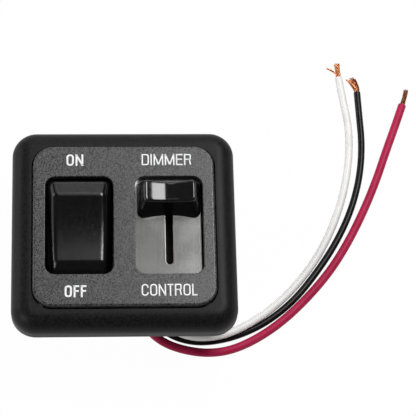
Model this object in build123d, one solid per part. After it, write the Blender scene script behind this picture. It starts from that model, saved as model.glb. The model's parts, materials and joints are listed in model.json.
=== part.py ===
from build123d import *

import os
from math import cos, hypot, radians, sin, sqrt, tan

# LED dimmer switch for a 12 V panel: an ON/OFF rocker, a slide dimmer and three leads.
# Millimetres. It lies face up on its back: +Z comes out of the face, +Y points to the ON end,
# and the origin is the middle of its back.

# Depths: the wall panel's front lies this far above the back, and the face this far above the panel
depth_behind_panel = 19.0
face_rise = 9.8

# Bezel: clip-on frame with a rounded roll
bezel_width = 67.9
bezel_length = 64.4
bezel_corner = 7.5
bezel_wall = 2.0
bezel_roll = 5.5
bezel_gap = 0.5
hook_length = 10.0
hook_reach = 0.9
hook_height = 0.8
hook_lift = 0.15
hook_top_room = 0.2
hook_end_room = 0.4
hook_depth_room = 0.6

# Face plate: textured front, skirt, hidden flange with four corner screw holes
plate_width = 54.8
plate_length = 51.4
plate_corner = 6.0
plate_thickness = 2.0
plate_proud = 1.4
plate_edge_round = 0.7
skirt_wall = 1.8
flange_thickness = 2.0
flange_gap = 0.5
flange_corner = 5.0
mount_hole_radius = 1.6
mount_hole_inset = 3.35

# The two windows, side by side
window_width = 20.4
window_length = 31.3
window_corner = 3.0
window_spacing = 27.06
window_edge_round = 0.3

# Rear housing: moulded tub with a step for the leads at its wiring end
housing_corner = 2.6
housing_wall = 1.5
housing_floor = 1.8
housing_rim_rise = 4.0
step_depth = 7.8
step_height = 7.0

# Screw posts on the middle line, and their screws
post_x = -0.6
post_y = (14.0, -3.0)
post_diameter = 5.0
post_foot_diameter = 7.4
post_foot_height = 4.5
post_joint_height = 14.0
screw_diameter = 2.6
screw_length = 18.0
screw_head_diameter = 4.8
screw_head_height = 1.5
screw_head_sink = 2.0
screw_clearance = 0.1
screw_head_clearance = 0.2
screw_slot_width = 0.8
screw_slot_depth = 0.7
screw_slot_length = 3.2

# Circuit board on corner ledges
board_level = 7.4
board_thickness = 1.6
board_gap = 0.3
ledge_size = 3.0
lead_hole_gap = 0.1

# Rocker cap, measured from its pivot
rocker_tilt_deg = 21.0
rocker_pivot_depth = 7.4
cap_end_gap = 0.48
cap_foot = 3.6
cap_bevel_foot = 7.4
cap_ridge_height = 9.6
cap_bevel_run = 4.0
cap_dish_depth = 0.72
cap_side_gap = 0.5
cap_side_draft = 1.85
cap_side_round = 2.0
cap_ridge_flat_share = 0.4
cap_skin = 1.9
cap_wall = 1.9
crossbar_half = 2.8
crossbar_drop = 2.2
nose_diameter = 5.6
nose_drop = 6.4
trunnion_diameter = 3.0
trunnion_gap = 0.1
plunger_diameter = 3.0
plunger_tip_radius = 1.2
plunger_drop = 7.7
plunger_length = 4.3
plunger_gap = 0.15
spring_wire = 0.4
spring_diameter = 2.8
spring_turns = 5
spring_gap = 0.1

# Rocker body: switch base with pivot ears
body_wall = 1.7
body_rim_rise = 11.5
ear_gap = 0.3
ear_half_length = 3.4
ear_rise = 2.6
body_end_wall = 1.5
body_end_gap = 0.4

# Contacts inside the rocker body
blade_tilt_deg = 12.0
blade_end = 1.9
blade_width = 3.6
blade_thickness = 0.5
blade_gap = 0.1
contact_diameter = 2.6
contact_height = 0.6
contact_round = 0.2
load_leg_inset = 1.6
contact_gap = 0.2
terminal_thickness = 0.8
terminal_width = 4.0
terminal_tail = 0.8
terminal_round = 0.25
shelf_thickness = 0.6
shelf_length = 3.0
shelf_floor_gap = 0.1

# Slide potentiometer under the dimmer window
case_steel = 0.8
case_end_cover = 2.35
case_end_gap = 0.5
case_side_gap = 0.2
case_height = 7.5
case_cover_left = 1.0
case_gap_right = 0.15
case_bend = 0.5
slot_width = 2.2
slot_end_gap = 0.8
slot_edge_round = 0.15
tab_width = 3.0
tab_reach = 1.6
tab_thickness = 0.6
tab_spacing = 22.0
wafer_thickness = 1.6
wafer_gap = 0.15
carriage_width = 15.0
carriage_length = 10.0
carriage_height = 2.4
carriage_gap = 1.2
carriage_corner = 0.8
lever_thickness = 1.6
lever_length = 5.0
lever_socket_gap = 0.1
wiper_width = 8.0
wiper_length = 7.0
wiper_thickness = 0.3
wiper_gap = 0.1
pin_width = 1.2
pin_thickness = 0.6
pin_tail = 0.8
pin_x = (-4.5, 5.5, -1.2)
pin_end_inset = 2.6
pin_near_inset = 2.3

# Dimmer knob: waisted plan, saddle top
knob_side_gap = 0.6
knob_end_gap = 0.35
knob_base_length = 13.1
knob_base_waist = 1.6
knob_base_corner = 2.0
knob_side_draft = 1.9
knob_top_length = 6.8
knob_top_waist = 0.7
knob_top_corner = 1.2
knob_rise = 6.3
knob_saddle_depth = 1.6
knob_edge_round = 0.8
knob_case_gap = 0.3
knob_pocket_wall = 1.1
knob_pocket_length = 5.7
knob_pocket_depth = 3.0
knob_sleeve_width = 3.8
lever_depth_in_knob = 4.6

# Parts on the board: each one's middle, by its place along X and its distance from the bay's far or near wall
transistor_x = 8.95
transistor_from_far = 15.0
chip_x = 18.7
chip_from_near = 4.5
capacitor_x = 19.0
capacitor_from_near = 12.7
disc_x = 12.6
disc_from_far = 2.2
resistor_spots = ((2.9, 14.5), (2.9, 5.5), (16.2, 5.3))
diode_x = 20.8
diode_from_far = 5.0
transistor_width = 10.2
transistor_length = 9.2
transistor_height = 4.5
transistor_tab_thickness = 1.3
transistor_tab_length = 6.4
transistor_tab_hole = 3.6
transistor_bevel = 0.6
transistor_lead = 0.8
transistor_lead_pitch = 2.54
transistor_lead_length = 2.0
transistor_lead_level = 2.4
chip_width = 6.4
chip_length = 8.8
chip_height = 3.4
chip_standoff = 0.5
chip_lead_width = 0.5
chip_lead_thickness = 0.3
chip_lead_pitch = 2.54
chip_leads_per_side = 4
chip_notch = 1.3
capacitor_diameter = 8.0
capacitor_height = 9.0
capacitor_round = 0.6
capacitor_crimp_depth = 0.3
capacitor_crimp_height = 1.6
disc_diameter = 5.0
disc_thickness = 2.2
disc_round = 0.7
disc_lift = 1.4
disc_lead_pitch = 2.5
axial_lead = 0.6
resistor_diameter = 1.7
resistor_length = 3.8
resistor_span = 6.5
diode_diameter = 2.7
diode_length = 4.2
diode_span = 6.4
axial_lift = 0.3
axial_round = 0.28

# Leads: insulation diameters, bare ends and routes along their middle lines
wire_diameter = {"red": 2.65, "black": 2.2, "white": 2.45}
core_diameter = 1.2
outer_strands = 6
strand_diameter = 0.36
strand_spacing = 0.42
strand_splay_deg = 5.0
bare_length = {"red": 5.2, "black": 4.6, "white": 4.6}
core_tail_length = 1.8
core_elbow_radius = 1.0
core_above_board = 0.5
arc_share = 0.45
wire_exit_height = 4.3
wire_straight_out = 3.4
wire_exit_x = {"red": 4.1, "black": 6.9, "white": 9.7}
wire_route = {
    "red": (
        (5.3, -21.2, 3.5), (8.3, -25.6, 2.2), (12.8, -28.9, 1.45), (19.0, -31.1, 1.4),
        (26.0, -32.1, 1.4), (33.3, -31.1, 1.4), (41.0, -27.6, 1.4), (49.1, -22.1, 1.4), (57.2, -14.5, 1.4),
        (64.9, -5.6, 1.4), (71.1, 4.0, 1.4), (76.5, 14.3, 1.4), (81.2, 24.8, 1.4), (85.1, 35.3, 1.4),
        (89.2, 45.7, 1.4), (91.5, 51.9, 1.4),
    ),
    "black": (
        (8.4, -20.8, 3.3), (12.0, -24.7, 1.9), (17.0, -27.3, 1.2), (23.1, -28.5, 1.17),
        (29.5, -27.9, 1.17), (36.4, -26.0, 1.17), (44.6, -22.0, 1.17), (53.3, -15.0, 1.17),
        (61.0, -5.5, 1.17), (67.6, 4.4, 1.17), (72.8, 15.1, 1.17), (76.2, 26.5, 1.17),
        (77.6, 38.0, 1.17), (77.2, 49.3, 1.17), (77.0, 56.6, 1.17),
    ),
    "white": (
        (11.1, -20.9, 4.2), (14.4, -24.7, 3.9), (19.2, -27.2, 3.75), (25.3, -27.8, 3.7),
        (32.0, -26.6, 3.65), (38.9, -23.2, 3.4), (46.3, -17.9, 2.1), (54.1, -10.2, 1.3), (61.2, -0.9, 1.27),
        (66.6, 9.4, 1.27), (70.6, 20.5, 1.27), (73.0, 32.1, 1.27), (73.7, 43.6, 1.27), (72.0, 54.8, 1.27),
        (71.2, 61.9, 1.27),
    ),
}

# Grommet in the step's wall
grommet_width = 11.0
grommet_height = 4.0
grommet_lip = 0.5
grommet_lip_thickness = 0.8
grommet_gap = 0.1
grommet_wire_gap = 0.05

# Levels and places that follow from the sizes above
front_z = depth_behind_panel + face_rise
plate_back_z = front_z - plate_thickness
bezel_lip_z = front_z - plate_proud
flange_width = bezel_width - 2 * (bezel_wall + flange_gap)
flange_length = bezel_length - 2 * (bezel_wall + flange_gap)
rocker_x = -window_spacing / 2
dimmer_x = window_spacing / 2
case_length = window_length + 2 * case_end_cover
housing_length = case_length + 2 * (case_end_gap + housing_wall)
slide_travel = window_length - knob_base_length - 2 * knob_end_gap
cap_end_radius = hypot(window_length / 2 - cap_end_gap, rocker_pivot_depth - plate_thickness)
cap_ridge_half = sqrt(cap_end_radius ** 2 - cap_bevel_foot ** 2) - cap_bevel_run
cap_base_width = window_width - 2 * cap_side_gap
cap_face_width = cap_base_width - 2 * cap_side_draft
cap_ridge_flat = cap_ridge_flat_share * cap_side_round
knob_base_width = window_width - 2 * knob_side_gap
knob_top_width = knob_base_width - 2 * knob_side_draft
pivot_z = front_z - rocker_pivot_depth
board_top = board_level + board_thickness
housing_inner_y = housing_length / 2 - housing_wall
step_wall_y = -housing_length / 2 + step_depth
step_inner_y = step_wall_y + housing_wall
wire_inner_end = step_inner_y + grommet_lip_thickness
case_left = dimmer_x - window_width / 2 - case_cover_left
case_right = dimmer_x + window_width / 2 - case_gap_right
housing_inner_x = case_right + case_side_gap
housing_width = 2 * (housing_inner_x + housing_wall)
case_x = (case_left + case_right) / 2
case_width = case_right - case_left
far_pin_y = case_length / 2 - pin_end_inset
pin_places = ((pin_x[0], far_pin_y), (pin_x[1], far_pin_y), (pin_x[2], step_inner_y + pin_near_inset))
transistor_place = (transistor_x, housing_inner_y - transistor_from_far)
chip_place = (chip_x, step_inner_y + chip_from_near)
capacitor_place = (capacitor_x, step_inner_y + capacitor_from_near)
disc_place = (disc_x, housing_inner_y - disc_from_far)
resistor_places = [(x, housing_inner_y - from_far) for x, from_far in resistor_spots]
diode_place = (diode_x, housing_inner_y - diode_from_far)
wafer_bottom = plate_back_z - case_height + tab_thickness
wafer_top = wafer_bottom + wafer_thickness
carriage_bottom = wafer_top + carriage_gap
knob_bottom = plate_back_z + knob_case_gap
knob_rest_y = slide_travel / 2
knob_height = front_z + knob_rise - knob_bottom
lever_top = knob_bottom + lever_depth_in_knob
neck_half = cap_face_width / 2 - cap_wall
ear_inner = neck_half + ear_gap
body_width = 2 * (ear_inner + body_wall)
body_length = 2 * (cap_end_radius + body_end_gap + body_end_wall)
knife_z = pivot_z - plunger_drop - 2 * blade_gap - blade_thickness
load_leg_y = step_inner_y + load_leg_inset
contact_reach = -load_leg_y - shelf_length / 2
blade_length = 2 * (contact_reach + blade_end)
button_drop = contact_reach * sin(radians(blade_tilt_deg / 2))
button_below_blade = (contact_height - blade_gap) * cos(radians(blade_tilt_deg / 2))
fixed_contact_top = knife_z - button_drop - button_below_blade - contact_gap
shelf_top = fixed_contact_top - contact_height
body_floor_top = shelf_top - shelf_thickness - shelf_floor_gap
core_hole_y = wire_inner_end + core_tail_length
spring_length = plunger_drop - plunger_length + crossbar_half

# The rocker and its see-saw blade are drawn level about their pivots, then tipped to OFF
rocker_off = Pos(rocker_x, 0, pivot_z) * Rot(rocker_tilt_deg / 2, 0, 0)
blade_off = Pos(rocker_x, 0, knife_z) * Rot(-blade_tilt_deg / 2, 0, 0)


def slab(width, length, corner, bottom, top):
    """Upright block with rounded corners between two heights."""
    return Pos(0, 0, bottom) * extrude(RectangleRounded(width, length, corner), top - bottom)


def rod(diameter, bottom, top):
    """Upright cylinder between two heights."""
    return Pos(0, 0, bottom) * Cylinder(
        diameter / 2, top - bottom, align=(Align.CENTER, Align.CENTER, Align.MIN)
    )


def bar(width, length, bottom, top):
    """Upright square block between two heights."""
    return Pos(0, 0, bottom) * Box(
        width, length, top - bottom, align=(Align.CENTER, Align.CENTER, Align.MIN)
    )


def top_edges(solid):
    """Edges round the highest face."""
    return solid.faces().sort_by(Axis.Z)[-1].outer_wire().edges()


def frame_sides():
    """The four sides of the bezel: a turn about Z and the distance of its inside wall."""
    inner_x = bezel_width / 2 - bezel_wall
    inner_y = bezel_length / 2 - bezel_wall
    return ((0, inner_x), (90, inner_y), (180, inner_x), (270, inner_y))


def make_bezel():
    outer = slab(bezel_width, bezel_length, bezel_corner, depth_behind_panel, bezel_lip_z)
    outer = fillet(top_edges(outer), bezel_roll)
    inside = slab(
        bezel_width - 2 * bezel_wall, bezel_length - 2 * bezel_wall, bezel_corner - bezel_wall,
        depth_behind_panel, bezel_lip_z - bezel_wall,
    )
    inside = fillet(top_edges(inside), bezel_roll - bezel_wall)
    opening = slab(
        plate_width + 2 * bezel_gap, plate_length + 2 * bezel_gap, plate_corner + bezel_gap,
        depth_behind_panel, bezel_lip_z,
    )
    bezel = outer - inside - opening
    hook_top = depth_behind_panel + hook_lift + hook_height
    hook_low = depth_behind_panel + hook_lift
    for turn, wall in frame_sides():
        wedge = make_face(Polyline(
            (wall + bezel_wall / 2, hook_low), (wall, hook_low),
            (wall - hook_reach, hook_top - hook_height / 3), (wall - hook_reach, hook_top),
            (wall + bezel_wall / 2, hook_top), close=True,
        ))
        bezel += Rot(0, 0, turn) * extrude(Plane.XZ * wedge, hook_length / 2, both=True)
    return bezel


def make_face_plate():
    plate = slab(plate_width, plate_length, plate_corner, depth_behind_panel, front_z)
    plate = fillet(top_edges(plate), plate_edge_round)
    plate += slab(
        flange_width, flange_length, flange_corner, depth_behind_panel, depth_behind_panel + flange_thickness
    )
    plate -= slab(
        plate_width - 2 * skirt_wall, plate_length - 2 * skirt_wall, plate_corner - skirt_wall,
        depth_behind_panel, plate_back_z,
    )
    for centre in (rocker_x, dimmer_x):
        window = slab(window_width, window_length, window_corner, plate_back_z, front_z)
        plate -= Pos(centre, 0, 0) * window
    window_rims = plate.faces().sort_by(Axis.Z)[-1].inner_wires().edges()
    plate = fillet(window_rims, window_edge_round)
    hole = rod(2 * mount_hole_radius, depth_behind_panel, depth_behind_panel + flange_thickness)
    for side in (-1, 1):
        for end in (-1, 1):
            hole_x = side * (flange_width / 2 - mount_hole_inset)
            hole_y = end * (flange_length / 2 - mount_hole_inset)
            plate -= Pos(hole_x, hole_y, 0) * hole
    relief_top = depth_behind_panel + hook_lift + hook_height + hook_top_room
    relief_depth = hook_reach - flange_gap + hook_depth_room
    for turn, wall in frame_sides():
        relief = bar(2 * relief_depth, hook_length + 2 * hook_end_room, depth_behind_panel, relief_top)
        plate -= Rot(0, 0, turn) * Pos(wall - flange_gap, 0, 0) * relief
    for y in post_y:
        boss = rod(post_diameter, post_joint_height, plate_back_z)
        bore_top = screw_head_sink + screw_length + screw_diameter / 2
        boss -= rod(screw_diameter + 2 * screw_clearance, post_joint_height, bore_top)
        plate += Pos(post_x, y, 0) * boss
    return plate


def make_rear_housing():
    rim_z = depth_behind_panel + housing_rim_rise
    inner_corner = housing_corner - housing_wall
    lower_length = housing_length - step_depth
    lower_y = step_depth / 2
    tub = slab(housing_width, housing_length, housing_corner, step_height, rim_z)
    tub += Pos(0, lower_y, 0) * slab(housing_width, lower_length, housing_corner, 0, rim_z)
    tub -= slab(
        2 * housing_inner_x, 2 * housing_inner_y, inner_corner, step_height + housing_wall, rim_z
    )
    tub -= Pos(0, lower_y, 0) * slab(
        2 * housing_inner_x, lower_length - 2 * housing_wall, inner_corner, housing_floor, rim_z
    )
    for side in (-1, 1):
        for y in (housing_inner_y - ledge_size / 2, step_inner_y + ledge_size / 2):
            ledge = bar(ledge_size, ledge_size, housing_floor, board_level)
            tub += Pos(side * (housing_inner_x - ledge_size / 2), y, 0) * ledge
    for y in post_y:
        post = rod(post_foot_diameter, 0, post_foot_height) + rod(post_diameter, 0, post_joint_height)
        tub += Pos(post_x, y, 0) * post
        bore = rod(screw_diameter + 2 * screw_clearance, 0, post_joint_height)
        bore += rod(screw_head_diameter + 2 * screw_head_clearance, 0, screw_head_sink)
        tub -= Pos(post_x, y, 0) * bore
    hole = SlotOverall(grommet_width + 2 * grommet_gap, grommet_height + 2 * grommet_gap)
    window = extrude(Plane.XZ * hole, housing_wall, both=True)
    tub -= Pos(wire_exit_x["black"], step_wall_y + housing_wall / 2, wire_exit_height) * window
    return tub


def make_housing_screws():
    screw = rod(screw_diameter, screw_head_sink, screw_head_sink + screw_length)
    head = rod(screw_head_diameter, screw_head_sink - screw_head_height, screw_head_sink)
    slot = bar(
        screw_slot_width, screw_slot_length,
        screw_head_sink - screw_head_height, screw_head_sink - screw_head_height + screw_slot_depth,
    )
    screw += head
    screw -= slot
    screw -= Rot(0, 0, 90) * slot
    return [Pos(post_x, y, 0) * screw for y in post_y]


def make_wire_grommet():
    neck = extrude(Plane.XZ * SlotOverall(grommet_width, grommet_height), housing_wall / 2, both=True)
    lip = SlotOverall(grommet_width + 2 * grommet_lip, grommet_height + 2 * grommet_lip)
    flange = extrude(Plane.XZ * lip, grommet_lip_thickness / 2, both=True)
    lip_y = (housing_wall + grommet_lip_thickness) / 2
    grommet = neck + Pos(0, lip_y, 0) * flange + Pos(0, -lip_y, 0) * flange
    for colour, diameter in wire_diameter.items():
        hole = Cylinder(diameter / 2 + grommet_wire_gap, grommet_width, rotation=(90, 0, 0))
        grommet -= Pos(wire_exit_x[colour] - wire_exit_x["black"], 0, 0) * hole
    return Pos(wire_exit_x["black"], step_wall_y + housing_wall / 2, wire_exit_height) * grommet


def make_circuit_board():
    width = 2 * (housing_inner_x - board_gap)
    near = step_inner_y + board_gap
    far = housing_inner_y - board_gap
    corner = housing_corner - housing_wall
    board = Pos(0, (near + far) / 2, 0) * slab(width, far - near, corner, board_level, board_top)
    for y in post_y:
        hole = rod(post_diameter + 2 * board_gap, board_level, board_top)
        board -= Pos(post_x, y, 0) * hole
    tail_slot = bar(
        terminal_width + 2 * lead_hole_gap, terminal_thickness + 2 * lead_hole_gap, board_level, board_top
    )
    for y in (0, load_leg_y):
        board -= Pos(rocker_x, y, 0) * tail_slot
    pin_slot = bar(pin_width + 2 * lead_hole_gap, pin_thickness + 2 * lead_hole_gap, board_level, board_top)
    for x, y in pin_places:
        board -= Pos(case_x + x, y, 0) * pin_slot
    core_hole = rod(core_diameter + 2 * lead_hole_gap, board_level, board_top)
    for x in wire_exit_x.values():
        board -= Pos(x, core_hole_y, 0) * core_hole
    return board


def on_end_arc(height):
    """Distance along Y of the cap's end arc, which is centred on the pivot."""
    return sqrt(cap_end_radius ** 2 - height ** 2)


def cap_outline():
    """Side view of the cap's shell: end arcs about the pivot, bevels, flat-topped ridges and a dished face."""
    mid_height = (cap_foot + cap_bevel_foot) / 2
    lines = [Line((-on_end_arc(cap_foot), cap_foot), (on_end_arc(cap_foot), cap_foot))]
    for end in (-1, 1):
        foot = (end * on_end_arc(cap_foot), cap_foot)
        middle = (end * on_end_arc(mid_height), mid_height)
        shoulder = (end * on_end_arc(cap_bevel_foot), cap_bevel_foot)
        ridge = (end * cap_ridge_half, cap_ridge_height)
        lines.append(ThreePointArc(foot, middle, shoulder))
        lines.append(Line(shoulder, ridge))
    lines.append(ThreePointArc(
        (-cap_ridge_half, cap_ridge_height),
        (0, cap_ridge_height - cap_dish_depth),
        (cap_ridge_half, cap_ridge_height),
    ))
    outline = make_face(lines)
    ridges = outline.vertices().sort_by(Axis.Y)[-2:]
    return chamfer(ridges, cap_ridge_flat / 2)


def make_rocker_cap():
    shell = extrude(Plane.YZ * cap_outline(), cap_base_width / 2, both=True)
    draft = make_face(Polyline(
        (-cap_base_width / 2, cap_foot), (cap_base_width / 2, cap_foot),
        (cap_face_width / 2, cap_ridge_height), (-cap_face_width / 2, cap_ridge_height), close=True,
    ))
    shell = shell & extrude(Plane.XZ * draft, cap_end_radius, both=True)
    shell = fillet(side_edges(shell), cap_side_round)
    pocket_top = cap_ridge_height - cap_dish_depth - cap_skin
    pocket_end = on_end_arc(cap_bevel_foot) - cap_wall
    pocket_start = crossbar_half + cap_wall / 2
    pocket = bar(2 * neck_half, pocket_end - pocket_start, cap_foot, pocket_top)
    for end in (-1, 1):
        shell -= Pos(0, end * (pocket_end + pocket_start) / 2, 0) * pocket
    shell += bar(2 * neck_half, 2 * crossbar_half, -crossbar_drop, cap_foot)
    shell += rod(nose_diameter, -nose_drop, 0)
    trunnion_length = 2 * (ear_inner + body_wall)
    shell += Cylinder(trunnion_diameter / 2, trunnion_length, rotation=(0, 90, 0))
    bore_top = -plunger_drop + plunger_length + spring_length + spring_gap
    shell -= rod(plunger_diameter + 2 * plunger_gap, -nose_drop, bore_top)
    return rocker_off * shell


def side_edges(shell):
    """Edges of the two side walls above the foot: along the ends, the bevels and the dished face."""
    low = (cap_foot + cap_bevel_foot) / 2 - cap_ridge_flat
    return [e for e in shell.edges() if abs(e.center().X) > neck_half and e.center().Z > low]


def make_rocker_plunger():
    radius = plunger_diameter / 2
    tip_centre = plunger_tip_radius - plunger_drop
    top = plunger_length - plunger_drop
    shoulder = tip_centre + plunger_diameter - 2 * plunger_tip_radius
    outline = make_face([
        Line((0, top), (radius, top)),
        Line((radius, top), (radius, shoulder)),
        Line((radius, shoulder), (plunger_tip_radius, tip_centre)),
        ThreePointArc(
            (plunger_tip_radius, tip_centre),
            (plunger_tip_radius * sin(radians(45)), tip_centre - plunger_tip_radius * cos(radians(45))),
            (0, -plunger_drop),
        ),
        Line((0, -plunger_drop), (0, top)),
    ])
    return rocker_off * revolve(Plane.XZ * outline, Axis.Z)


def make_rocker_spring():
    coil_height = spring_length - spring_wire - spring_gap
    coil_radius = (spring_diameter - spring_wire) / 2
    coil = Helix(coil_height / spring_turns, coil_height, coil_radius)
    section = Plane(coil @ 0, z_dir=coil % 0) * Circle(spring_wire / 2)
    bottom = plunger_length - plunger_drop + spring_gap / 2 + spring_wire / 2
    return rocker_off * Pos(0, 0, bottom) * sweep(section, coil, is_frenet=True)


def make_rocker_body():
    floor_y = body_length / 2
    rim_z = board_top + body_rim_rise
    body = bar(body_width, body_length, board_top, rim_z)
    body -= bar(2 * ear_inner, body_length - 2 * body_end_wall, body_floor_top, rim_z)
    ear_top = pivot_z + ear_rise
    ear = bar(body_wall, 2 * ear_half_length, rim_z, ear_top)
    for side in (-1, 1):
        body += Pos(side * (ear_inner + body_wall / 2), 0, 0) * ear
    end_wall = bar(2 * ear_inner, body_end_wall, rim_z, plate_back_z)
    for end in (-1, 1):
        body += Pos(0, end * (floor_y - body_end_wall / 2), 0) * end_wall
    bore = Cylinder(trunnion_diameter / 2 + trunnion_gap, 2 * body_width, rotation=(0, 90, 0))
    body -= Pos(0, 0, pivot_z) * bore
    tail_slot = bar(
        terminal_width + 2 * lead_hole_gap, terminal_thickness + 2 * lead_hole_gap, board_top, body_floor_top
    )
    for y in (0, load_leg_y):
        body -= Pos(0, y, 0) * tail_slot
    return Pos(rocker_x, 0, 0) * body


def make_contact_blade():
    blade = bar(blade_width, blade_length, blade_gap, blade_gap + blade_thickness)
    return blade_off * blade


def contact_button(bottom):
    """Silver button with a rounded rim, standing on the height given."""
    button = rod(contact_diameter, bottom, bottom + contact_height)
    return fillet(top_edges(button), contact_round)


def make_moving_contact():
    button = Rot(180, 0, 0) * contact_button(-blade_gap)
    return blade_off * Pos(0, -contact_reach, 0) * button


def make_fixed_contact():
    return Pos(rocker_x, -contact_reach, 0) * contact_button(shelf_top)


def make_common_terminal():
    post = bar(terminal_width, terminal_thickness, board_level - terminal_tail, knife_z)
    post = fillet(top_edges(post).filter_by(Axis.X), terminal_round)
    return Pos(rocker_x, 0, 0) * post


def make_load_terminal():
    leg = bar(terminal_width, terminal_thickness, board_level - terminal_tail, shelf_top)
    shelf = bar(terminal_width, shelf_length, shelf_top - shelf_thickness, shelf_top)
    shelf_y = (shelf_length - terminal_thickness) / 2
    return Pos(rocker_x, load_leg_y, 0) * (leg + Pos(0, shelf_y, 0) * shelf)


def make_pot_case():
    bottom = wafer_bottom
    case = bar(case_width, case_length, bottom, plate_back_z)
    case = fillet(top_edges(case), case_bend)
    inside = bar(case_width - 2 * case_steel, case_length - 2 * case_steel, bottom, plate_back_z - case_steel)
    case -= inside
    slot_length = slide_travel + lever_length + 2 * slot_end_gap
    slot = Pos(0, 0, plate_back_z - case_steel) * extrude(
        Rot(0, 0, 90) * SlotOverall(slot_length, slot_width), case_steel
    )
    case -= Pos(dimmer_x - case_x, 0, 0) * slot
    slot_rim = case.faces().sort_by(Axis.Z)[-1].inner_wires().edges()
    case = fillet(slot_rim, slot_edge_round)
    for side in (-1, 1):
        for end in (-1, 1):
            tab = bar(tab_reach, tab_width, bottom - tab_thickness, bottom)
            case += Pos(side * (case_width - tab_reach) / 2, end * tab_spacing / 2, 0) * tab
    return Pos(case_x, 0, 0) * case


def make_pot_wafer():
    margin = 2 * (case_steel + wafer_gap)
    wafer = bar(case_width - margin, case_length - margin, wafer_bottom, wafer_top)
    pin_slot = bar(pin_width + 2 * lead_hole_gap, pin_thickness + 2 * lead_hole_gap, wafer_bottom, wafer_top)
    for x, y in pin_places:
        wafer -= Pos(x, y, 0) * pin_slot
    return Pos(case_x, 0, 0) * wafer


def make_pot_terminals():
    pin = bar(pin_width, pin_thickness, board_level - pin_tail, wafer_top)
    return [Pos(case_x + x, y, 0) * pin for x, y in pin_places]


def make_pot_slider():
    carriage = bar(carriage_width, carriage_length, carriage_bottom, carriage_bottom + carriage_height)
    carriage = fillet(carriage.edges().filter_by(Axis.Z), carriage_corner)
    lever = bar(lever_thickness, lever_length, carriage_bottom, lever_top)
    return Pos(dimmer_x, knob_rest_y, 0) * (carriage + lever)


def make_pot_wiper():
    """Bowed spring brush: its ends bear on the carriage, its belly on the wafer's tracks."""
    half = wiper_length / 2
    belly = wafer_top + wiper_gap
    foot = carriage_bottom - wiper_thickness
    outline = make_face([
        ThreePointArc((-half, foot), (0, belly), (half, foot)),
        Line((half, foot), (half, carriage_bottom)),
        ThreePointArc((half, carriage_bottom), (0, belly + wiper_thickness), (-half, carriage_bottom)),
        Line((-half, carriage_bottom), (-half, foot)),
    ])
    return Pos(dimmer_x, knob_rest_y, 0) * extrude(Plane.YZ * outline, wiper_width / 2, both=True)


def knob_outline(width, length, waist, corner):
    """Plan of the knob at one height: straight ends and long sides that curve in."""
    half_width = width / 2
    half_length = length / 2
    outline = make_face([
        ThreePointArc((-half_width, -half_length), (0, waist - half_length), (half_width, -half_length)),
        Line((half_width, -half_length), (half_width, half_length)),
        ThreePointArc((half_width, half_length), (0, half_length - waist), (-half_width, half_length)),
        Line((-half_width, half_length), (-half_width, -half_length)),
    ])
    return fillet(outline.vertices(), corner)


def make_dimmer_knob():
    base = knob_outline(knob_base_width, knob_base_length, knob_base_waist, knob_base_corner)
    top = knob_outline(knob_top_width, knob_top_length, knob_top_waist, knob_top_corner)
    knob = loft([base, Pos(0, 0, knob_height) * top], ruled=True)
    half_top = knob_top_width / 2
    saddle_radius = (half_top ** 2 + knob_saddle_depth ** 2) / (2 * knob_saddle_depth)
    saddle = Cylinder(saddle_radius, 2 * knob_base_length, rotation=(90, 0, 0))
    knob -= Pos(0, 0, knob_height - knob_saddle_depth + saddle_radius) * saddle
    rim = [e for e in knob.edges() if e.center().Z > knob_height - knob_saddle_depth - knob_edge_round]
    knob = fillet(rim, knob_edge_round)
    pocket = bar(knob_top_width - 2 * knob_pocket_wall, knob_pocket_length, 0, knob_pocket_depth)
    sleeve = bar(knob_sleeve_width, knob_pocket_length, 0, knob_pocket_depth)
    socket = bar(
        lever_thickness + 2 * lever_socket_gap, lever_length + 2 * lever_socket_gap,
        0, lever_depth_in_knob + lever_socket_gap,
    )
    knob -= pocket - sleeve
    knob -= socket
    return Pos(dimmer_x, knob_rest_y, knob_bottom) * knob


def make_power_transistor():
    tab_top = board_top + transistor_tab_thickness
    body = bar(transistor_width, transistor_length, tab_top, board_top + transistor_height)
    body = chamfer(top_edges(body), transistor_bevel)
    return Pos(*transistor_place, 0) * body


def make_transistor_tab():
    tab_top = board_top + transistor_tab_thickness
    tab = bar(transistor_width, transistor_length + transistor_tab_length, board_top, tab_top)
    tab = Pos(0, transistor_tab_length / 2, 0) * tab
    hole = rod(transistor_tab_hole, board_top, tab_top)
    tab -= Pos(0, (transistor_length + transistor_tab_length) / 2, 0) * hole
    pieces = [tab]
    lead_top = board_top + transistor_lead_level
    for place in (-1, 0, 1):
        arm = bar(transistor_lead, transistor_lead_length, lead_top - transistor_lead, lead_top)
        foot = bar(transistor_lead, transistor_lead, board_top, lead_top)
        foot_y = (transistor_lead - transistor_lead_length) / 2
        lead = arm + Pos(0, foot_y, 0) * foot
        lead_y = -(transistor_length + transistor_lead_length) / 2
        pieces.append(Pos(place * transistor_lead_pitch, lead_y, 0) * lead)
    return [Pos(*transistor_place, 0) * piece for piece in pieces]


def make_control_chip():
    low = board_top + chip_standoff
    chip = bar(chip_length, chip_width, low, low + chip_height - chip_standoff)
    notch = rod(chip_notch, low + chip_height / 2, low + chip_height)
    chip -= Pos(-chip_length / 2, 0, 0) * notch
    lead_top = low + (chip_height - chip_standoff) / 2
    for side in (-1, 1):
        for number in range(chip_leads_per_side):
            lead_x = (number - (chip_leads_per_side - 1) / 2) * chip_lead_pitch
            lead = bar(chip_lead_width, chip_lead_thickness, board_top, lead_top)
            chip += Pos(lead_x, side * (chip_width + chip_lead_thickness) / 2, 0) * lead
    return Pos(*chip_place, 0) * chip


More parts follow.
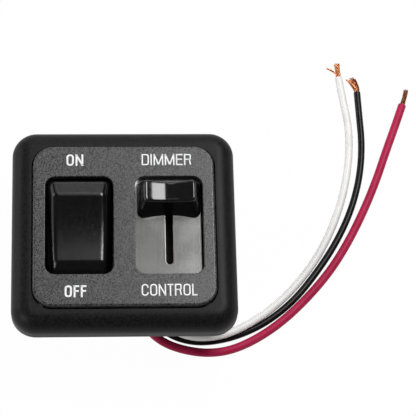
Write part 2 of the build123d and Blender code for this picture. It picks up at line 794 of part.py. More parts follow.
def make_smoothing_capacitor():
    can = rod(capacitor_diameter, board_top, board_top + capacitor_height)
    can = fillet(top_edges(can), capacitor_round)
    crimp = Pos(0, 0, board_top + capacitor_crimp_height) * Torus(
        capacitor_diameter / 2 + capacitor_crimp_depth, 2 * capacitor_crimp_depth
    )
    return Pos(*capacitor_place, 0) * (can - crimp)


def make_ceramic_capacitor():
    disc = Cylinder(disc_diameter / 2, disc_thickness, rotation=(90, 0, 0))
    disc = fillet(disc.edges().filter_by(GeomType.CIRCLE), disc_round)
    centre = board_top + disc_lift + disc_diameter / 2
    capacitor = Pos(0, 0, centre) * disc
    for side in (-1, 1):
        capacitor += Pos(side * disc_lead_pitch / 2, 0, 0) * rod(axial_lead, board_top, centre)
    return Pos(*disc_place, 0) * capacitor


def axial_part(diameter, length, span):
    """Small barrel along Y with a bent wire at each end, standing on the board."""
    axis_z = board_top + axial_lift + diameter / 2
    barrel = Cylinder(diameter / 2, length, rotation=(90, 0, 0))
    barrel = fillet(barrel.edges().filter_by(GeomType.CIRCLE), axial_round)
    part = Pos(0, 0, axis_z) * barrel
    part += Pos(0, 0, axis_z) * Cylinder(axial_lead / 2, span, rotation=(90, 0, 0))
    for end in (-1, 1):
        leg = rod(axial_lead, board_top, axis_z + axial_lead / 2)
        part += Pos(0, end * (span - axial_lead) / 2, 0) * leg
    return part


def make_resistors():
    resistor = axial_part(resistor_diameter, resistor_length, resistor_span)
    return [Pos(*place, 0) * resistor for place in resistor_places]


def make_flyback_diode():
    return Pos(*diode_place, 0) * axial_part(diode_diameter, diode_length, diode_span)


def wire_points(colour):
    """Route of one lead: straight out through the grommet, then on to the end of its insulation."""
    exit_x = wire_exit_x[colour]
    inner_end = (exit_x, wire_inner_end, wire_exit_height)
    straight_end = (exit_x, step_wall_y - wire_straight_out, wire_exit_height)
    return [inner_end, straight_end] + list(wire_route[colour])


def make_wire(colour):
    points = [Vector(*point) for point in wire_points(colour)]
    radii = []
    for before, here, after in zip(points, points[1:], points[2:]):
        turn = radians((here - before).get_angle(after - here))
        shorter = min((here - before).length, (after - here).length)
        radii.append(arc_share * shorter / tan(turn / 2))
    path = FilletPolyline(*points, radius=radii)
    section = Plane(points[0], z_dir=points[1] - points[0]) * Circle(wire_diameter[colour] / 2)
    tube = sweep(section, path)
    expected = path.length * section.area
    print(f"{colour} wire: length {path.length:.1f}, volume {tube.volume:.1f} of {expected:.1f}, radii",
          [round(radius, 1) for radius in radii])
    return tube


def make_strands(colour):
    """Bare copper of one lead: splayed strands past the insulation, and the tail soldered to the board."""
    points = [Vector(*point) for point in wire_points(colour)]
    out = Plane(points[-1], z_dir=points[-1] - points[-2])
    strand = rod(strand_diameter, 0, bare_length[colour])
    pieces = [out.location * strand]
    for number in range(outer_strands):
        turn = number * 360 / outer_strands
        splayed = Rot(0, 0, turn) * Pos(strand_spacing, 0, 0) * Rot(0, strand_splay_deg, 0) * strand
        lowest = splayed.bounding_box().min.Z
        pieces.append(out.location * Pos(0, 0, -lowest) * splayed)
    tail = FilletPolyline(
        points[0], (points[0].X, core_hole_y, wire_exit_height),
        (points[0].X, core_hole_y, board_top + core_above_board),
        radius=core_elbow_radius,
    )
    section = Plane(points[0], z_dir=(0, 1, 0)) * Circle(core_diameter / 2)
    pieces.append(sweep(section, tail))
    return pieces


makers = {
    "bezel": make_bezel,
    "face_plate": make_face_plate,
    "rear_housing": make_rear_housing,
    "housing_screws": make_housing_screws,
    "wire_grommet": make_wire_grommet,
    "circuit_board": make_circuit_board,
    "rocker_cap": make_rocker_cap,
    "rocker_plunger": make_rocker_plunger,
    "rocker_spring": make_rocker_spring,
    "rocker_body": make_rocker_body,
    "contact_blade": make_contact_blade,
    "moving_contact": make_moving_contact,
    "fixed_contact": make_fixed_contact,
    "common_terminal": make_common_terminal,
    "load_terminal": make_load_terminal,
    "pot_case": make_pot_case,
    "pot_wafer": make_pot_wafer,
    "pot_terminals": make_pot_terminals,
    "pot_slider": make_pot_slider,
    "pot_wiper": make_pot_wiper,
    "dimmer_knob": make_dimmer_knob,
    "power_transistor": make_power_transistor,
    "transistor_tab": make_transistor_tab,
    "control_chip": make_control_chip,
    "smoothing_capacitor": make_smoothing_capacitor,
    "ceramic_capacitor": make_ceramic_capacitor,
    "resistors": make_resistors,
    "flyback_diode": make_flyback_diode,
}

os.makedirs("parts", exist_ok=True)
for name, make in makers.items():
    made = make()
    node = Compound(children=made) if isinstance(made, list) else made
    export_step(node, f"parts/{name}.step")
for colour in wire_route:
    export_step(make_wire(colour), f"parts/{colour}_wire.step")
    export_step(Compound(children=make_strands(colour)), f"parts/{colour}_wire_strands.step")
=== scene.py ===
# %% [markdown]
# # A dimmer switch for a 12 V panel
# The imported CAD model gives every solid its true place, in metres, with +Z out of the face. This file
# dresses those solids: finishes, printed legends, soft leads, light and a camera. Nothing is moved.

import json
import math
import random

import bpy
from mathutils import Matrix, Vector


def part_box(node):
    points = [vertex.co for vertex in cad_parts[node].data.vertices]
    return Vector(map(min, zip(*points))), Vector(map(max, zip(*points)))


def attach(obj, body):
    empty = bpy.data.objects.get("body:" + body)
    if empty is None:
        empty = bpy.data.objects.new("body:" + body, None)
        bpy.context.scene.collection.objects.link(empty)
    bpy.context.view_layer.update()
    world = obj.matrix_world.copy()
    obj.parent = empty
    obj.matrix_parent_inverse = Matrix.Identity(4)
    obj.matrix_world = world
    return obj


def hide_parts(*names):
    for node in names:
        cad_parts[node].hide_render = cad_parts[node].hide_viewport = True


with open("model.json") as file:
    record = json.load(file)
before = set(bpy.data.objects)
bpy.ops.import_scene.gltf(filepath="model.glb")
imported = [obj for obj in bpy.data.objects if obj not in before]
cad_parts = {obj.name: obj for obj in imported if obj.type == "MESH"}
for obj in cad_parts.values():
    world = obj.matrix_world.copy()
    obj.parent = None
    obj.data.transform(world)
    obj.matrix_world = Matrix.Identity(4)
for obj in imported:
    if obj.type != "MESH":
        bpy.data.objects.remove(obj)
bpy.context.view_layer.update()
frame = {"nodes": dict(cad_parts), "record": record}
nodes = frame["nodes"]
slot_of_node = {part["node"]: part["material_slot"] for part in frame["record"]["subparts"]}
MM = 0.001

# %% [markdown]
# ## Camera
# The picture was taken from above the lower edge and a little to the left, with a long lens. The camera is
# placed on a line from a point on the face, then turned about that line so that the switch stands upright.
# The lens follows from the picture's width: a focal length in pixels, over that width in pixels, is the
# same ratio as a focal length in millimetres over the sensor's width.

# %% Place the camera
frame_pixels = 416
focal_pixels = 1930.7
sensor_width = 36
camera_target = Vector((25.28, 5.21, 28.8)) * MM
camera_distance = 583 * MM
camera_elevation = math.radians(67.96)
camera_turn = math.radians(-9.57)
camera_roll = math.radians(8.65)

back = Vector((
    math.sin(camera_turn) * math.cos(camera_elevation),
    -math.cos(camera_turn) * math.cos(camera_elevation),
    math.sin(camera_elevation),
))
camera_data = bpy.data.cameras.new("camera")
camera_data.sensor_width = sensor_width
camera_data.lens = focal_pixels / frame_pixels * sensor_width
camera = bpy.data.objects.new("camera", camera_data)
bpy.context.scene.collection.objects.link(camera)
upright = (-back).to_track_quat("-Z", "Y").to_matrix().to_4x4()
roll = Matrix.Rotation(camera_roll, 4, "Z")
camera_place = camera_target + camera_distance * back
camera.matrix_world = Matrix.Translation(camera_place) @ upright @ roll
bpy.context.scene.camera = camera
print("lens", round(camera_data.lens, 1), "mm, camera at", [round(part / MM) for part in camera_place])

# %% [markdown]
# ## The three leads
# Each lead is stranded copper in soft PVC. It leaves the housing through the grommet, drops to the table
# and sweeps round to the right. A bevelled NURBS curve is the natural tool: its control points pull the
# line without corners, and the round section follows it. The points are the route of the lead's solid.

# %% Sizes and routes of the leads
lead_diameter = {"red": 2.65, "black": 2.2, "white": 2.45}
lead_route = {
    "red": (
        (4.1, -9.9, 4.3), (4.1, -15.6, 4.3), (5.3, -21.2, 3.5), (8.3, -25.6, 2.2), (12.8, -28.9, 1.45),
        (19.0, -31.1, 1.4), (26.0, -32.1, 1.4), (33.3, -31.1, 1.4), (41.0, -27.6, 1.4), (49.1, -22.1, 1.4),
        (57.2, -14.5, 1.4), (64.9, -5.6, 1.4), (71.1, 4.0, 1.4), (76.5, 14.3, 1.4), (81.2, 24.8, 1.4),
        (85.1, 35.3, 1.4), (89.2, 45.7, 1.4), (91.5, 51.9, 1.4),
    ),
    "black": (
        (6.9, -9.9, 4.3), (6.9, -15.6, 4.3), (8.4, -20.8, 3.3), (12.0, -24.7, 1.9), (17.0, -27.3, 1.2),
        (23.1, -28.5, 1.17), (29.5, -27.9, 1.17), (36.4, -26.0, 1.17), (44.6, -22.0, 1.17),
        (53.3, -15.0, 1.17), (61.0, -5.5, 1.17), (67.6, 4.4, 1.17), (72.8, 15.1, 1.17), (76.2, 26.5, 1.17),
        (77.6, 38.0, 1.17), (77.2, 49.3, 1.17), (77.0, 56.6, 1.17),
    ),
    "white": (
        (9.7, -9.9, 4.3), (9.7, -15.6, 4.3), (11.1, -20.9, 4.2), (14.4, -24.7, 3.9), (19.2, -27.2, 3.75),
        (25.3, -27.8, 3.7), (32.0, -26.6, 3.65), (38.9, -23.2, 3.4), (46.3, -17.9, 2.1), (54.1, -10.2, 1.3),
        (61.2, -0.9, 1.27), (66.6, 9.4, 1.27), (70.6, 20.5, 1.27), (73.0, 32.1, 1.27), (73.7, 43.6, 1.27),
        (72.0, 54.8, 1.27), (71.2, 61.9, 1.27),
    ),
}
print("routes in mm for", list(lead_route))


# %% Lay the leads
def add_spline(curve, points, radius):
    """One smooth open line in a curve's data, pulled by points, with the radius of its round section."""
    spline = curve.splines.new("NURBS")
    spline.points.add(len(points) - 1)
    for control, point in zip(spline.points, points):
        control.co = (*point, 1)
        control.radius = radius
    spline.order_u = 3
    spline.use_endpoint_u = True
    return spline


def round_curve(name):
    """An empty curve with a round, capped section, whose size is left to the radius of its points."""
    curve = bpy.data.curves.new(name, "CURVE")
    curve.dimensions = "3D"
    curve.bevel_depth = 1.0
    curve.bevel_resolution = 6
    curve.resolution_u = 16
    curve.use_fill_caps = True
    thing = bpy.data.objects.new(name, curve)
    bpy.context.scene.collection.objects.link(thing)
    return thing


leads = {}
for colour, route in lead_route.items():
    lead = round_curve(f"{colour}_lead")
    add_spline(lead.data, [Vector(point) * MM for point in route], lead_diameter[colour] / 2 * MM)
    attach(lead, "base")
    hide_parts(f"{colour}_wire")
    leads[colour] = lead
print("leads", list(leads))

# %% [markdown]
# ## Bare copper ends
# The last few millimetres of each lead are stripped. Fine strands leave the insulation in a loose twist and
# spread a little, each lead in its own way: one stays together, one fans out, one has a stray tuft. A
# strand is again a thin NURBS curve, and the twist comes from turning its points about the lead's own
# direction. One strand also runs on inside the housing, up to its solder joint.

# %% Shape of a strand
strand_radius = 0.15
strands_per_lead = 22
spiral_turn = 2.4
bundle_radius = 0.72
twist_turn = 1.2
strand_stations = (-0.25, 0.0, 0.3, 0.6, 0.85, 1.0)
shortest_strand = 0.86
bare_length = {"red": 5.8, "black": 4.8, "white": 5.0}
tip_lean = {"red": (-0.35, 0.35), "black": (-1.9, 0.5), "white": (0.1, 0.3)}
tip_spread = {"red": 0.95, "black": 2.4, "white": 1.25}
stray_count = {"red": 0, "black": 0, "white": 4}
stray_lean = (-3.3, 0.5)
stray_share = 0.75
core_end_y = -8.1
core_top = 9.5


def strand_points(start, ahead, side, place, lean, spread, length):
    """Control points of one strand, from inside the insulation to its tip."""
    up = Vector((0, 0, 1))
    points = []
    for share in strand_stations:
        grown = max(share, 0.0)
        turn = place[0] + twist_turn * share
        reach = place[1] * bundle_radius * (1 + (spread - 1) * grown)
        across = reach * math.cos(turn) + lean[0] * grown ** 2
        rise = reach * math.sin(turn) + lean[1] * grown ** 2
        points.append((start + ahead * length * share + side * across + up * rise) * MM)
    return points


print("bare ends in mm", bare_length)

# %% Twist the strands
dice = random.Random(7)
for colour, route in lead_route.items():
    start = Vector(route[-1])
    ahead = (start - Vector(route[-2])).normalized()
    side = ahead.cross(Vector((0, 0, 1)))
    strands = round_curve(f"{colour}_lead_copper")
    strands.data.bevel_resolution = 2
    strands.data.resolution_u = 6
    for number in range(strands_per_lead):
        ring = math.sqrt((number + 0.5) / strands_per_lead)
        place = (number * spiral_turn, ring)
        stray = number < stray_count[colour]
        lean = stray_lean if stray else tip_lean[colour]
        length = bare_length[colour] * dice.uniform(shortest_strand, 1.0) * (stray_share if stray else 1)
        points = strand_points(start, ahead, side, place, lean, tip_spread[colour], length)
        add_spline(strands.data, points, strand_radius * MM)
    inner = Vector(route[0])
    turn_in = Vector((inner.x, core_end_y, inner.z))
    solder = Vector((inner.x, core_end_y, core_top))
    add_spline(strands.data, [inner * MM, turn_in * MM, solder * MM], strand_radius * MM)
    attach(strands, "base")
    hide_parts(f"{colour}_wire_strands")
    print(colour, "copper:", len(strands.data.splines), "strands")

# %% [markdown]
# ## Shared surface effects
# Three effects turn up on several finishes, so each is a shader node group, built once: the pebbled grain
# that a spark-eroded mould leaves on plastic, the soft smudges that hands leave on smooth faces, and the
# fine lines of brushed metal. A group only puts out values that change over the surface; each material
# decides what to do with them.

# %% Helpers for shader trees
def place_node(tree, kind, settings=None, **inputs):
    """Adds a node, sets its own settings, and fills or links its inputs by name."""
    node = tree.nodes.new(kind)
    for name, value in (settings or {}).items():
        setattr(node, name, value)
    for name, value in inputs.items():
        socket = node.inputs[name.replace("_", " ")]
        if isinstance(value, bpy.types.NodeSocket):
            tree.links.new(value, socket)
        else:
            socket.default_value = value
    return node


def effect_group(name, inputs, outputs):
    """An empty node group with float inputs, a coordinate input and float outputs."""
    group = bpy.data.node_groups.new(name, "ShaderNodeTree")
    group.interface.new_socket("Coordinates", in_out="INPUT", socket_type="NodeSocketVector")
    for label, value in inputs.items():
        socket = group.interface.new_socket(label, in_out="INPUT", socket_type="NodeSocketFloat")
        socket.default_value = value
    for label in outputs:
        group.interface.new_socket(label, in_out="OUTPUT", socket_type="NodeSocketFloat")
    return group, group.nodes.new("NodeGroupInput"), group.nodes.new("NodeGroupOutput")


# %% Moulded grain
def make_moulded_grain():
    """Pebbles of the size asked for, as a height and a tone that speckles the colour."""
    group, given, result = effect_group("moulded_grain", {"Scale": 2000.0}, ("Height", "Tone"))
    cells = place_node(
        group, "ShaderNodeTexVoronoi", {"feature": "SMOOTH_F1"},
        Vector=given.outputs["Coordinates"], Scale=given.outputs["Scale"], Smoothness=0.6,
    )
    specks = place_node(
        group, "ShaderNodeTexVoronoi", {"feature": "F1"},
        Vector=given.outputs["Coordinates"], Scale=given.outputs["Scale"],
    )
    cloud = place_node(
        group, "ShaderNodeTexNoise", {},
        Vector=given.outputs["Coordinates"], Scale=given.outputs["Scale"], Detail=2.0, Roughness=0.6,
    )
    height = place_node(group, "ShaderNodeMath", {"operation": "SUBTRACT"})
    group.links.new(cloud.outputs[0], height.inputs[0])
    group.links.new(cells.outputs["Distance"], height.inputs[1])
    tone = place_node(
        group, "ShaderNodeMapRange", {"interpolation_type": "SMOOTHSTEP"},
        Value=specks.outputs["Color"], From_Min=0.25, From_Max=0.75,
    )
    group.links.new(height.outputs[0], result.inputs["Height"])
    group.links.new(tone.outputs[0], result.inputs["Tone"])
    return group


grain_group = make_moulded_grain()
print("node group", grain_group.name)


# %% Handling marks
def make_handling_marks():
    """Soft blotches with finer streaks in them, from 0 where clean to 1 where touched."""
    group, given, result = effect_group("handling_marks", {"Scale": 150.0}, ("Mask",))
    blotch = place_node(
        group, "ShaderNodeTexNoise", {},
        Vector=given.outputs["Coordinates"], Scale=given.outputs["Scale"],
        Detail=4.0, Roughness=0.55, Distortion=0.6,
    )
    mask = place_node(
        group, "ShaderNodeMapRange", {"interpolation_type": "SMOOTHSTEP"},
        Value=blotch.outputs[0], From_Min=0.42, From_Max=0.68,
    )
    group.links.new(mask.outputs[0], result.inputs["Mask"])
    return group


marks_group = make_handling_marks()
marks_per_metre = {"plastic": 130.0, "metal": 110.0, "paper": 60.0}
print("node group", marks_group.name)


# %% Brushed lines
def make_brushed_lines():
    """Fine scratches that run along Y, as a tone."""
    group, given, result = effect_group("brushed_lines", {"Scale": 3000.0, "Stretch": 0.02}, ("Tone",))
    stretch = place_node(group, "ShaderNodeCombineXYZ", {}, X=1.0, Z=1.0)
    group.links.new(given.outputs["Stretch"], stretch.inputs["Y"])
    along = place_node(group, "ShaderNodeVectorMath", {"operation": "MULTIPLY"})
    group.links.new(given.outputs["Coordinates"], along.inputs[0])
    group.links.new(stretch.outputs[0], along.inputs[1])
    lines = place_node(
        group, "ShaderNodeTexNoise", {},
        Vector=along.outputs[0], Scale=given.outputs["Scale"], Detail=3.0, Roughness=0.7,
    )
    tone = place_node(group, "ShaderNodeMapRange", {}, Value=lines.outputs[0], From_Min=0.25, From_Max=0.75)
    group.links.new(tone.outputs[0], result.inputs["Tone"])
    return group


brushed_group = make_brushed_lines()
print("node group", brushed_group.name)

# %% [markdown]
# ## Finishes
# One material stands for each material slot of the record. A moulded plastic is black pigment under a thin
# clear skin, and its grain feeds the colour, the roughness and the bump. The grain's lighter specks in the
# colour are partly painted glints: over a real grain, they stand in for the light that the pebbles catch,
# most of all on the face plate. On a smooth plastic, smudges vary the roughness instead. An edge that the
# real mould rounds off can catch light as a rounded one does: a Bevel node turns the normals near it.
# Metals take brushed lines in colour and bump, and smudges in roughness. Every tree starts from Object
# coordinates, which are metres in the part's own frame, so a grain size can be given as a real length.

# %% Helpers for finishes
edge_samples = 8


def start_material(name):
    """A new material: its tree, its Principled shader and its object coordinates."""
    material = bpy.data.materials.new(name)
    material.use_nodes = True
    tree = material.node_tree
    coordinates = tree.nodes.new("ShaderNodeTexCoord").outputs["Object"]
    return material, tree, tree.nodes["Principled BSDF"], coordinates


def use_effect(tree, group, coordinates, **values):
    """Places an effect in a material with its own values."""
    node = place_node(tree, "ShaderNodeGroup", {"node_tree": group}, Coordinates=coordinates, **values)
    return node.outputs


def tint(tree, shader, factor, dark, light):
    """Base Color runs from dark to light with a factor."""
    ramp = tree.nodes.new("ShaderNodeValToRGB")
    ramp.color_ramp.elements[0].color = (*dark, 1)
    ramp.color_ramp.elements[1].color = (*light, 1)
    tree.links.new(factor, ramp.inputs[0])
    tree.links.new(ramp.outputs[0], shader.inputs["Base Color"])


def vary_roughness(tree, shader, factor, low, high):
    """Roughness runs from low to high with a factor."""
    spread = place_node(tree, "ShaderNodeMapRange", {}, Value=factor, To_Min=low, To_Max=high)
    tree.links.new(spread.outputs[0], shader.inputs["Roughness"])


def raise_bump(tree, shader, height, depth, edge=0.0):
    """A bump of that depth, over edges lit as if rounded to the radius of edge, both in millimetres."""
    bump = place_node(tree, "ShaderNodeBump", {}, Height=height, Distance=depth * MM)
    tree.links.new(bump.outputs[0], shader.inputs["Normal"])
    if edge:
        rounded = place_node(tree, "ShaderNodeBevel", {"samples": edge_samples}, Radius=edge * MM)
        tree.links.new(rounded.outputs["Normal"], bump.inputs["Normal"])


# %% Recipes for plastic and metal
smooth_depth = 0.015
brush_depth = 0.002


def grey(level):
    """A neutral colour."""
    return (level, level, level)


def moulded_plastic(name, dark, light, roughness, grain, depth, gloss=0.5, edge=0.0):
    """Plastic from a grained mould: grain is the size of its pebbles, depth their height, in millimetres."""
    material, tree, shader, coordinates = start_material(name)
    pebbles = use_effect(tree, grain_group, coordinates, Scale=1 / (grain * MM))
    tint(tree, shader, pebbles["Tone"], dark, light)
    unevenness = pebbles["Tone"]
    if depth <= smooth_depth:
        unevenness = use_effect(tree, marks_group, coordinates, Scale=marks_per_metre["plastic"])["Mask"]
    vary_roughness(tree, shader, unevenness, *roughness)
    raise_bump(tree, shader, pebbles["Height"], depth, edge)
    shader.inputs["Specular IOR Level"].default_value = gloss
    return material


def brushed_metal(name, dark, light, roughness, stretch=0.02):
    """Metal with fine lines along Y, and smudges that dull it in places."""
    material, tree, shader, coordinates = start_material(name)
    lines = use_effect(tree, brushed_group, coordinates, Stretch=stretch)
    marks = use_effect(tree, marks_group, coordinates, Scale=marks_per_metre["metal"])
    tint(tree, shader, lines["Tone"], dark, light)
    vary_roughness(tree, shader, marks["Mask"], *roughness)
    raise_bump(tree, shader, lines["Tone"], brush_depth)
    shader.inputs["Metallic"].default_value = 1.0
    return material


# %% Plastics of the face
face_plastics = {
    "bezel_plastic": dict(
        dark=grey(0.003), light=grey(0.011), roughness=(0.40, 0.50), grain=0.3, depth=0.02, gloss=0.15),
    # The face plate's light specks are partly painted glints, for light caught by its real grain.
    "face_plastic": dict(
        dark=grey(0.006), light=grey(0.07), roughness=(0.22, 0.44), grain=0.24, depth=0.02, gloss=0.46),
    "rocker_plastic": dict(
        dark=grey(0.001), light=grey(0.004), roughness=(0.14, 0.20), grain=0.3, depth=0.02, edge=1.0),
    "knob_plastic": dict(
        dark=grey(0.004), light=grey(0.006), roughness=(0.07, 0.13), grain=1.2, depth=0.001, edge=0.8),
}
finishes = {name: moulded_plastic(name, **look) for name, look in face_plastics.items()}
print("plastics of the face", list(face_plastics))

# %% Plastics behind the face
hidden_plastics = {
    "housing_plastic": dict(
        dark=grey(0.014), light=grey(0.024), roughness=(0.45, 0.55), grain=0.4, depth=0.02),
    "switch_body_plastic": dict(
        dark=grey(0.01), light=grey(0.016), roughness=(0.5, 0.6), grain=0.4, depth=0.01),
    "carriage_plastic": dict(
        dark=grey(0.01), light=grey(0.016), roughness=(0.4, 0.5), grain=0.4, depth=0.006),
    "epoxy": dict(dark=grey(0.012), light=grey(0.02), roughness=(0.55, 0.65), grain=0.25, depth=0.01),
    "grommet_rubber": dict(dark=grey(0.012), light=grey(0.02), roughness=(0.7, 0.8), grain=0.3, depth=0.01),
}
finishes.update({name: moulded_plastic(name, **look) for name, look in hidden_plastics.items()})
print("plastics behind the face", list(hidden_plastics))

# %% Insulation, laminates and coatings
coloured_plastics = {
    "red_insulation": dict(
        dark=(0.40, 0.013, 0.062), light=(0.44, 0.017, 0.074), roughness=(0.42, 0.5),
        grain=4.0, depth=0.001, gloss=0.15),
    "black_insulation": dict(
        dark=grey(0.005), light=grey(0.008), roughness=(0.28, 0.36), grain=4.0, depth=0.001, gloss=0.18),
    "white_insulation": dict(
        dark=(0.83, 0.82, 0.80), light=(0.87, 0.86, 0.84), roughness=(0.34, 0.42),
        grain=4.0, depth=0.001, gloss=0.3),
    "board_laminate": dict(
        dark=(0.01, 0.09, 0.035), light=(0.015, 0.13, 0.05), roughness=(0.3, 0.4), grain=0.5, depth=0.004),
    # Painted shade: the wafer is coloured near black, darker than its brown laminate, for the dark inside
    # the slide's slot.
    "wafer_laminate": dict(
        dark=(0.010, 0.006, 0.004), light=(0.016, 0.010, 0.007), roughness=(0.6, 0.7),
        grain=0.5, depth=0.004, gloss=0.2),
    "can_sleeve": dict(
        dark=(0.006, 0.009, 0.03), light=(0.01, 0.014, 0.045), roughness=(0.25, 0.35),
        grain=0.8, depth=0.003),
    "disc_coating": dict(
        dark=(0.32, 0.13, 0.03), light=(0.4, 0.18, 0.05), roughness=(0.4, 0.5), grain=0.6, depth=0.01),
    "resistor_coating": dict(
        dark=(0.42, 0.32, 0.18), light=(0.5, 0.4, 0.24), roughness=(0.35, 0.45), grain=0.6, depth=0.006),
}
finishes.update({name: moulded_plastic(name, **look) for name, look in coloured_plastics.items()})
print("coloured plastics", list(coloured_plastics))

# %% Metals
metals = {
    "zinc_steel": dict(
        dark=(0.52, 0.53, 0.55), light=(0.66, 0.67, 0.7), roughness=(0.28, 0.36), stretch=0.4),
    "tab_metal": dict(
        dark=(0.58, 0.58, 0.6), light=(0.7, 0.7, 0.72), roughness=(0.3, 0.4), stretch=0.2),
    "contact_silver": dict(
        dark=(0.78, 0.77, 0.74), light=(0.88, 0.87, 0.84), roughness=(0.2, 0.3), stretch=0.6),
    "terminal_brass": dict(
        dark=(0.6, 0.42, 0.16), light=(0.72, 0.54, 0.24), roughness=(0.25, 0.35), stretch=0.2),
    "spring_bronze": dict(
        dark=(0.56, 0.32, 0.14), light=(0.68, 0.42, 0.2), roughness=(0.25, 0.35), stretch=0.1),
    "copper": dict(
        dark=(0.36, 0.12, 0.045), light=(0.74, 0.32, 0.15), roughness=(0.28, 0.4), stretch=0.5),
    # Painted shade: the red lead's bare copper is coloured darker for the shade that lies over its tip.
    "painted_shade_copper": dict(
        dark=(0.05, 0.018, 0.008), light=(0.3, 0.11, 0.05), roughness=(0.4, 0.55), stretch=0.5),
}
finishes.update({name: brushed_metal(name, **look) for name, look in metals.items()})
print("metals", list(metals))

# %% [markdown]
# The slide's steel case ends in a bend at the right of its window. That bend is painted dark, as painted
# shade for the shade beside the window's right wall, so the colour fades over its width. The fade reads the
# place along X, in the part's own frame.

# %% Steel of the slide
case_edge_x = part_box("pot_case")[1].x
# painted shade over the case's right bend: its width, its fade and its dark colour
painted_shade_width = 0.5 * MM
painted_shade_fade = 0.2 * MM
painted_shade_colour = (0.03, 0.027, 0.024, 1)


def slide_case_steel(name):
    """Brushed steel whose right bend is darkened with painted shade."""
    material = brushed_metal(name, dark=grey(0.24), light=(0.30, 0.30, 0.293), roughness=(0.17, 0.19))
    tree = material.node_tree
    shader = tree.nodes["Principled BSDF"]
    steel_colour = shader.inputs["Base Color"].links[0].from_socket
    coordinates = tree.nodes.new("ShaderNodeTexCoord").outputs["Object"]
    place = place_node(tree, "ShaderNodeSeparateXYZ", {}, Vector=coordinates)
    # painted shade: the colour goes dark over the case's last half millimetre on the right
    painted_shade = place_node(
        tree, "ShaderNodeMapRange", {"interpolation_type": "SMOOTHSTEP"},
        Value=place.outputs["X"], From_Min=case_edge_x - painted_shade_width - painted_shade_fade,
        From_Max=case_edge_x - painted_shade_width,
    )
    mix = place_node(
        tree, "ShaderNodeMixRGB", {}, Fac=painted_shade.outputs[0], Color1=steel_colour, Color2=painted_shade_colour,
    )
    tree.links.new(mix.outputs[0], shader.inputs["Base Color"])
    return material


finishes["slide_steel"] = slide_case_steel("slide_steel")
print("grease starts at", round((case_edge_x - painted_shade_width - painted_shade_fade) / MM, 2), "mm along X")

# %% Put the finishes on
for name, node in nodes.items():
    node.data.materials.clear()
    node.data.materials.append(finishes[slot_of_node[name]])
for colour, lead in leads.items():
    lead.data.materials.append(finishes[f"{colour}_insulation"])
    # the red lead's bare end takes the copper darkened as painted shade
    bare = "painted_shade_copper" if colour == "red" else "copper"
    bpy.data.objects[f"{colour}_lead_copper"].data.materials.append(finishes[bare])
print("finishes", len(finishes))

# %% [markdown]
# ## Printed legends
# The plate carries its functions in white ink: ON and OFF above and below the rocker in a bold hand, and
# two thinner words beside the slide. A font object would be quicker, but the lettering is narrow with even
# strokes, so each letter is drawn as its strokes, in a box of height 1 and of its own width. A stroke is a
# thin curve like the leads, pressed flat.

# %% Strokes of the letters
stem = [(0, 0), (0, 1)]
top_bar = [(0, 1), (1, 1)]
foot_bar = [(0, 0), (1, 0)]
letter_strokes = {
    "C": [[(1, 0.72), (1, 1), (0, 1), (0, 0.5), (0, 0), (1, 0), (1, 0.28)]],
    "D": [stem, [(0, 1), (0.4, 1), (1, 1), (1, 0.5), (1, 0), (0.4, 0), (0, 0)]],
    "E": [stem, top_bar, [(0, 0.53), (0.9, 0.53)], foot_bar],
    "F": [stem, top_bar, [(0, 0.52), (0.9, 0.52)]],
    "I": [stem],
    "L": [stem, foot_bar],
    "M": [stem, [(0, 1), (0.5, 0)], [(0.5, 0), (1, 1)], [(1, 0), (1, 1)]],
    "N": [stem, [(0, 1), (1, 0)], [(1, 0), (1, 1)]],
    "O": [[(0, 0.5), (0, 1), (1, 1), (1, 0.5), (1, 0), (0, 0), (0, 0.5)]],
    "R": [
        stem, [(0, 1), (0.5, 1), (0.95, 1), (0.95, 0.76), (0.95, 0.52), (0.5, 0.52), (0, 0.52)],
        [(0.5, 0.52), (0.85, 0.52), (0.85, 0.2), (1, 0)],
    ],
    "T": [top_bar, [(0.5, 0), (0.5, 1)]],
}
letter_width = {
    "C": 0.60, "D": 0.62, "E": 0.56, "F": 0.48, "I": 0.14, "L": 0.46, "M": 0.82, "N": 0.64, "O": 0.62,
    "R": 0.62, "T": 0.50,
}
letter_gap = 0.12
print("letters", "".join(letter_strokes))

# %% Places of the words
front_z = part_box("face_plate")[1].z
ink_thickness = 0.03
legend_box = {
    "ON": ((-17.40, 19.14), (-12.22, 22.94)),
    "OFF": ((-17.89, -23.01), (-11.43, -19.25)),
    "DIMMER": ((5.46, 19.29), (20.61, 23.00)),
    "CONTROL": ((4.87, -22.71), (21.45, -18.98)),
}
legend_stroke = {"ON": 0.62, "OFF": 0.62, "DIMMER": 0.44, "CONTROL": 0.44}
print("ink at", round(front_z / MM, 2), "mm")


# %% Draw the words
def draw_stroke(curve, points, half):
    """A stroke in millimetres: a closed loop, a level or upright bar with square ends, or an open line."""
    if points[0] == points[-1]:
        loop = add_spline(curve, [Vector((*point, 0)) * MM for point in points[:-1]], half * MM)
        loop.use_endpoint_u = False
        loop.use_cyclic_u = True
        return
    ends = [Vector((*point, 0)) for point in points]
    run = ends[-1] - ends[0]
    if len(points) == 2 and run.x * run.y == 0:
        reach = run.normalized() * half
        ends = [ends[0] - reach, ends[0], ends[1], ends[1] + reach]
    add_spline(curve, [point * MM for point in ends], half * MM)


